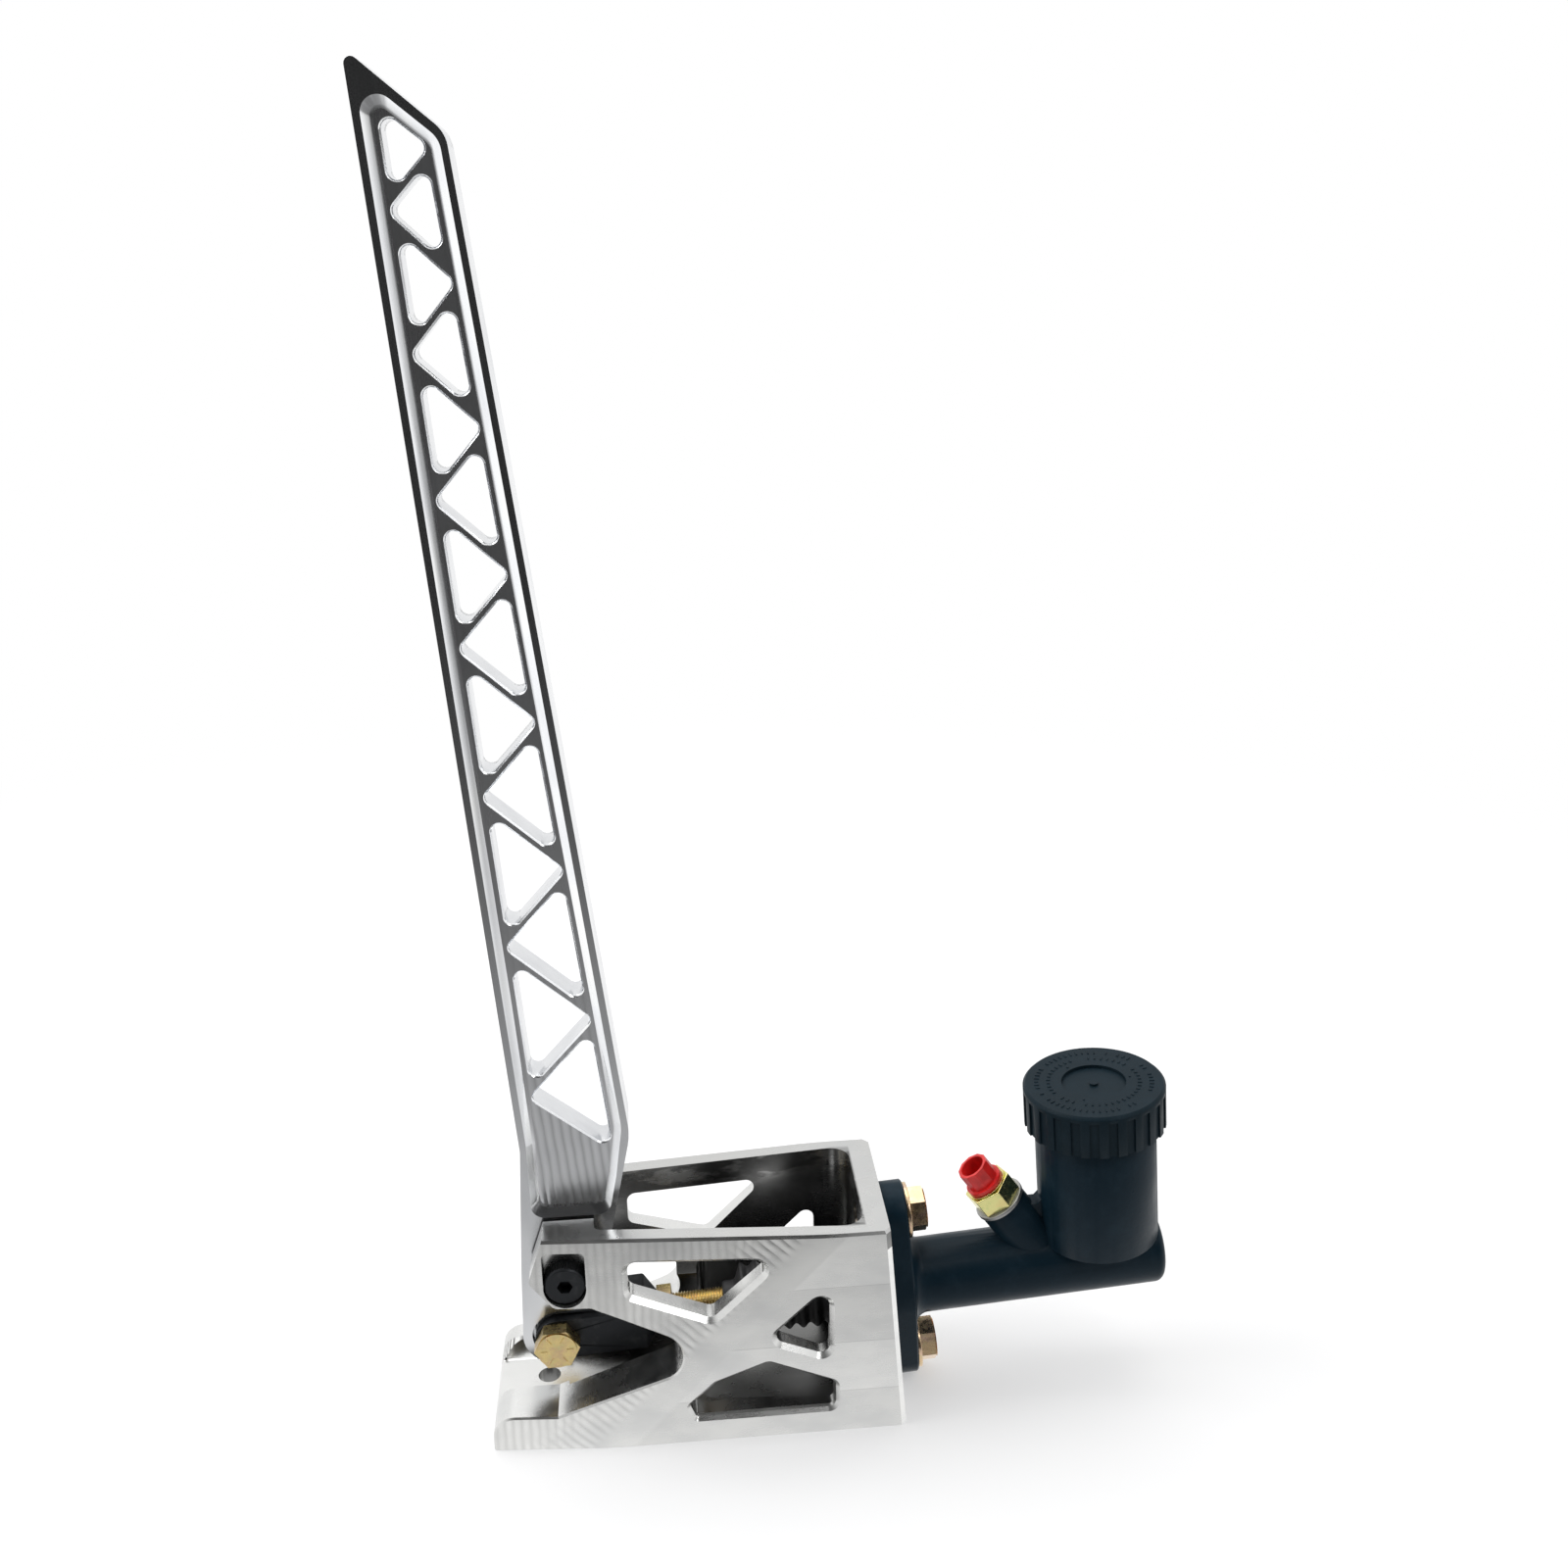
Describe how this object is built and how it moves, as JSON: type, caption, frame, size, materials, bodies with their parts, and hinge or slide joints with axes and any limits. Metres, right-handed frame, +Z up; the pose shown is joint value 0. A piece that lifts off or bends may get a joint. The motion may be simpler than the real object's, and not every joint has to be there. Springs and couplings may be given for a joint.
{
  "type": "hydraulic handbrake",
  "caption": "Upright hydraulic handbrake: skeletonised billet lever pivoted in a windowed bracket, pulling a clevis and pushrod into a master cylinder with its own reservoir.",
  "frame": {"origin": "on the bracket's underside, in the centre plane, straight below the lever's pivot", "axes": "+X along the bracket from the lever to the master cylinder, +Z up, the lever and the cylinder lie in the XZ plane"},
  "size_m": [0.2545, 0.061, 0.4567],
  "materials": {
    "billet_aluminium": "bright milled with visible cutter paths",
    "billet_aluminium_lever": "bright milled, brushed faces, broken edges",
    "black_ecoat": "satin black e-coat over an aluminium casting",
    "black_oxide_steel": "black oxide",
    "yellow_zinc": "yellow chromated zinc plating",
    "steel": "plain, lightly oiled",
    "bronze": "sintered bronze",
    "anodised_piston": "hard anodised",
    "black_rubber": "moulded, matt",
    "black_cap_plastic": "moulded, slightly satin",
    "grey_sealing_washer": "soft, turned",
    "red_plastic": "moulded, slightly translucent"
  },
  "bodies": {
    "bracket": {"bracket_base": "billet_aluminium", "bracket_near_side": "billet_aluminium", "bracket_far_side": "billet_aluminium", "bracket_end_wall": "billet_aluminium", "pivot_screw": "black_oxide_steel", "pivot_washer": "black_oxide_steel", "pivot_nut": "black_oxide_steel", "boot": "black_rubber", "mc_body": "black_ecoat", "valve_stem": "steel", "valve_seal": "black_rubber", "valve_spacer": "steel", "return_spring": "steel", "stop_washer": "steel", "snap_ring": "steel", "flange_washers": "yellow_zinc", "flange_bolts": "yellow_zinc", "outlet_washer": "grey_sealing_washer", "outlet_adapter": "yellow_zinc"},
    "lever": {"lever": "billet_aluminium_lever", "pivot_bushes": "bronze", "clevis_sleeve": "bronze"},
    "pushrod": {"clevis": "black_oxide_steel", "clevis_bolt": "yellow_zinc", "clevis_nut": "yellow_zinc", "jam_nut": "yellow_zinc", "pushrod": "yellow_zinc"},
    "piston": {"piston": "anodised_piston", "primary_cup": "black_rubber", "secondary_cup": "black_rubber", "spring_thimble": "steel"},
    "diaphragm": {"diaphragm": "black_rubber"},
    "cap": {"reservoir_cap": "black_cap_plastic"},
    "plug": {"outlet_plug": "red_plastic"}
  },
  "joints": [
    {"name": "lever_pull", "type": "hinge", "parent": "bracket", "child": "lever", "pos_m": [0, 0, 0.0637], "axis": [0, -1, 0], "range_deg": [0, 26], "stiffness_Nm_per_rad": 1.6, "springref_deg": -40.11},
    {"name": "clevis_turn", "type": "hinge", "parent": "lever", "child": "pushrod", "pos_m": [-0.005, 0, 0.03244], "axis": [0, -1, 0], "range_deg": [-26, 0]},
    {"name": "piston_slide", "type": "slide", "parent": "bracket", "child": "piston", "axis": [0.9976, 0, 0.0698], "range_m": [0, 0.0143], "deforming": ["return_spring", "boot"]},
    {"name": "cap_lift", "type": "slide", "parent": "bracket", "child": "diaphragm", "axis": [-0.0698, 0, 0.9976], "range_m": [0, 0.01]},
    {"name": "cap_turn", "type": "hinge", "parent": "diaphragm", "child": "cap", "pos_m": [0.19182, 0, 0.10594], "axis": [-0.0698, 0, 0.9976], "range_deg": [0, 900]},
    {"name": "plug_pull", "type": "slide", "parent": "bracket", "child": "plug", "axis": [-0.5736, 0, 0.8192], "range_m": [0, 0.016]}
  ],
  "couplings": [
    {"joint": "clevis_turn", "follows": "lever_pull", "ratio": -1},
    {"joint": "piston_slide", "follows": "lever_pull", "m_per_rad": 0.031336},
    {"joint": "cap_turn", "follows": "cap_lift", "rad_per_m": 1570.8}
  ]
}
